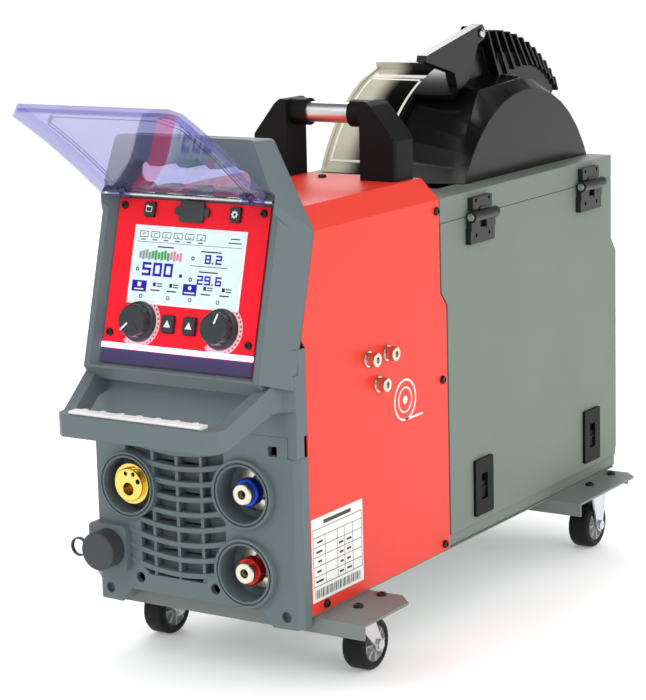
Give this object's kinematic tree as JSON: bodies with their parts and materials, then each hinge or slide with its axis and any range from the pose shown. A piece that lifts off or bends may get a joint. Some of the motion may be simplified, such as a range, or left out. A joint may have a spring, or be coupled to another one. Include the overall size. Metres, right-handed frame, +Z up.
{
  "type": "wire feeder",
  "caption": "Welding wire feeder on casters: tilted control panel under a clear flap, red drive section, grey housing with a hooded spool, torch and water sockets.",
  "frame": {"origin": "on the floor, in the body's mid-plane, at the middle of the overall length from the open flap's tip to the rear connectors", "axes": "-Y towards the operator's control panel, +X towards the side with the spool door, +Z up"},
  "size_m": [0.33, 0.7878, 0.568],
  "materials": {
    "grey_moulding": "fine moulded texture",
    "red_paint": "satin powder coat",
    "red_panel": "glossy overlay",
    "grey_paint": "fine textured powder coat",
    "bracket_paint": "powder coat",
    "black_moulding": "satin moulded",
    "black_gloss": "glossy moulded",
    "violet_clear": "clear tinted",
    "smoked_clear": "clear",
    "display": "lit screen",
    "light_bar": "lit diffuser",
    "white_grip": "soft touch",
    "brass": "machined",
    "nickel": "nickel plated",
    "blue_anodised": "anodised",
    "red_anodised": "anodised",
    "zinc": "zinc plated",
    "tyre": "rubber tread",
    "bare_aluminium": "brushed",
    "steel": "turned",
    "black_steel": "black oxide",
    "circuit_board": "solder mask",
    "black_rubber": "moulded",
    "insulating_board": "sheet"
  },
  "bodies": {
    "chassis": {"base_tray": "grey_paint", "black_screws": "black_steel", "caster_swivel_heads": "zinc", "console_frame": "grey_moulding", "control_board": "circuit_board", "control_plate": "red_panel", "control_socket": "black_moulding", "coupling_bodies": "nickel", "door_hinge_upper_leaves": "black_steel", "drive_motor": "black_steel", "drive_plate": "bare_aluminium", "drive_unit_bolts": "nickel", "euro_socket": "brass", "front_casing": "grey_moulding", "front_caster_bracket": "bracket_paint", "grip_strip": "white_grip", "handle_post_left": "black_moulding", "handle_post_right": "black_moulding", "handle_tube": "bare_aluminium", "hinge_pins": "steel", "hood_shell": "black_gloss", "inner_wall": "insulating_board", "lcd_display": "display", "led_bar": "light_bar", "rear_caster_bracket": "bracket_paint", "rear_caster_forks": "zinc", "rear_connectors": "brass", "rear_housing": "grey_paint", "red_cover": "red_paint", "spool_spindle": "black_moulding", "wire_guides": "brass"},
    "flap": {"display_flap": "violet_clear"},
    "left_knob": {"knob_left": "black_moulding"},
    "right_knob": {"knob_right": "black_moulding"},
    "left_up_button": {"up_button_left": "black_moulding"},
    "right_up_button": {"up_button_right": "black_moulding"},
    "menu_key": {"menu_button": "black_moulding"},
    "settings_key": {"settings_button": "black_moulding"},
    "data_cover": {"usb_cover": "black_rubber"},
    "dust_cap": {"socket_cap": "black_rubber"},
    "blue_sleeve": {"collar_blue": "blue_anodised"},
    "red_sleeve": {"collar_red": "red_anodised"},
    "door": {"side_door": "grey_paint", "door_hinge_lower_leaves": "black_steel", "latch_bezels": "black_moulding"},
    "front_latch": {"latch_front": "black_moulding"},
    "rear_latch": {"latch_rear": "black_moulding"},
    "hood_lid": {"hood_window": "smoked_clear", "hood_lid_frame": "black_gloss"},
    "spool": {"wire_spool": "black_moulding"},
    "drive_roll": {"feed_roll": "steel"},
    "roll_arm": {"pressure_arm": "bare_aluminium"},
    "idle_roll": {"pressure_roll": "steel"},
    "tension_post": {"tension_lever": "red_anodised"},
    "front_left_fork": {"caster_fork_front_left": "zinc"},
    "front_right_fork": {"caster_fork_front_right": "zinc"},
    "front_left_wheel": {"caster_wheel_front_left": "tyre"},
    "front_right_wheel": {"caster_wheel_front_right": "tyre"},
    "rear_left_wheel": {"caster_wheel_rear_left": "tyre"},
    "rear_right_wheel": {"caster_wheel_rear_right": "tyre"}
  },
  "joints": [
    {"name": "flap_hinge", "type": "hinge", "parent": "chassis", "child": "flap", "pos_m": [0, -0.26126, 0.446], "axis": [-1, 0, 0], "range_deg": [-108, 20]},
    {"name": "left_knob_turn", "type": "hinge", "parent": "chassis", "child": "left_knob", "pos_m": [-0.0445, -0.28193, 0.3345], "axis": [0, -0.9636, 0.2672], "continuous": true},
    {"name": "right_knob_turn", "type": "hinge", "parent": "chassis", "child": "right_knob", "pos_m": [0.0445, -0.28193, 0.3345], "axis": [0, -0.9636, 0.2672], "continuous": true},
    {"name": "left_up_press", "type": "slide", "parent": "chassis", "child": "left_up_button", "axis": [0, 0.9636, -0.2672], "range_m": [0, 0.001]},
    {"name": "right_up_press", "type": "slide", "parent": "chassis", "child": "right_up_button", "axis": [0, 0.9636, -0.2672], "range_m": [0, 0.001]},
    {"name": "menu_press", "type": "slide", "parent": "chassis", "child": "menu_key", "axis": [0, 0.9636, -0.2672], "range_m": [0, 0.001]},
    {"name": "settings_press", "type": "slide", "parent": "chassis", "child": "settings_key", "axis": [0, 0.9636, -0.2672], "range_m": [0, 0.001]},
    {"name": "data_cover_hinge", "type": "hinge", "parent": "chassis", "child": "data_cover", "pos_m": [-0.0185, -0.25234, 0.43111], "axis": [0, -0.2672, -0.9636], "range_deg": [0, 90]},
    {"name": "dust_cap_hinge", "type": "hinge", "parent": "chassis", "child": "dust_cap", "pos_m": [-0.11, -0.27856, 0.118], "axis": [0, 0, -1], "range_deg": [0, 90]},
    {"name": "blue_sleeve_slide", "type": "slide", "parent": "chassis", "child": "blue_sleeve", "axis": [0, 1, 0], "range_m": [0, 0.004]},
    {"name": "red_sleeve_slide", "type": "slide", "parent": "chassis", "child": "red_sleeve", "axis": [0, 1, 0], "range_m": [0, 0.004]},
    {"name": "door_hinge", "type": "hinge", "parent": "chassis", "child": "door", "pos_m": [0.1205, 0.17724, 0.394], "axis": [0, -1, 0], "range_deg": [0, 100]},
    {"name": "front_latch_slide", "type": "slide", "parent": "door", "child": "front_latch", "axis": [0, 0, 1], "range_m": [0, 0.008]},
    {"name": "rear_latch_slide", "type": "slide", "parent": "door", "child": "rear_latch", "axis": [0, 0, 1], "range_m": [0, 0.008]},
    {"name": "hood_lid_hinge", "type": "hinge", "parent": "chassis", "child": "hood_lid", "pos_m": [0.05, 0.17574, 0.559], "axis": [-1, 0, 0], "range_deg": [0, 75]},
    {"name": "spool_turn", "type": "hinge", "parent": "chassis", "child": "spool", "pos_m": [-0.0095, 0.20174, 0.338], "axis": [1, 0, 0], "continuous": true},
    {"name": "drive_roll_turn", "type": "hinge", "parent": "chassis", "child": "drive_roll", "pos_m": [-0.0695, -0.13126, 0.163], "axis": [1, 0, 0], "continuous": true},
    {"name": "roll_arm_hinge", "type": "hinge", "parent": "chassis", "child": "roll_arm", "pos_m": [-0.0695, -0.08926, 0.1986], "axis": [-1, 0, 0], "range_deg": [0, 50]},
    {"name": "idle_roll_turn", "type": "hinge", "parent": "roll_arm", "child": "idle_roll", "pos_m": [-0.0695, -0.13126, 0.1942], "axis": [1, 0, 0], "continuous": true},
    {"name": "tension_post_hinge", "type": "hinge", "parent": "chassis", "child": "tension_post", "pos_m": [-0.0695, -0.17526, 0.1926], "axis": [1, 0, 0], "range_deg": [0, 45]},
    {"name": "front_left_swivel", "type": "hinge", "parent": "chassis", "child": "front_left_fork", "pos_m": [-0.1135, -0.18926, 0.06], "axis": [0, 0, 1], "continuous": true},
    {"name": "front_right_swivel", "type": "hinge", "parent": "chassis", "child": "front_right_fork", "pos_m": [0.1135, -0.18926, 0.06], "axis": [0, 0, 1], "continuous": true},
    {"name": "front_left_roll", "type": "hinge", "parent": "front_left_fork", "child": "front_left_wheel", "pos_m": [-0.1135, -0.16326, 0.025], "axis": [1, 0, 0], "continuous": true},
    {"name": "front_right_roll", "type": "hinge", "parent": "front_right_fork", "child": "front_right_wheel", "pos_m": [0.1135, -0.16326, 0.025], "axis": [1, 0, 0], "continuous": true},
    {"name": "rear_left_roll", "type": "hinge", "parent": "chassis", "child": "rear_left_wheel", "pos_m": [-0.1135, 0.29474, 0.025], "axis": [1, 0, 0], "continuous": true},
    {"name": "rear_right_roll", "type": "hinge", "parent": "chassis", "child": "rear_right_wheel", "pos_m": [0.1135, 0.29474, 0.025], "axis": [1, 0, 0], "continuous": true}
  ],
  "couplings": [
    {"joint": "idle_roll_turn", "follows": "drive_roll_turn", "ratio": -1}
  ]
}
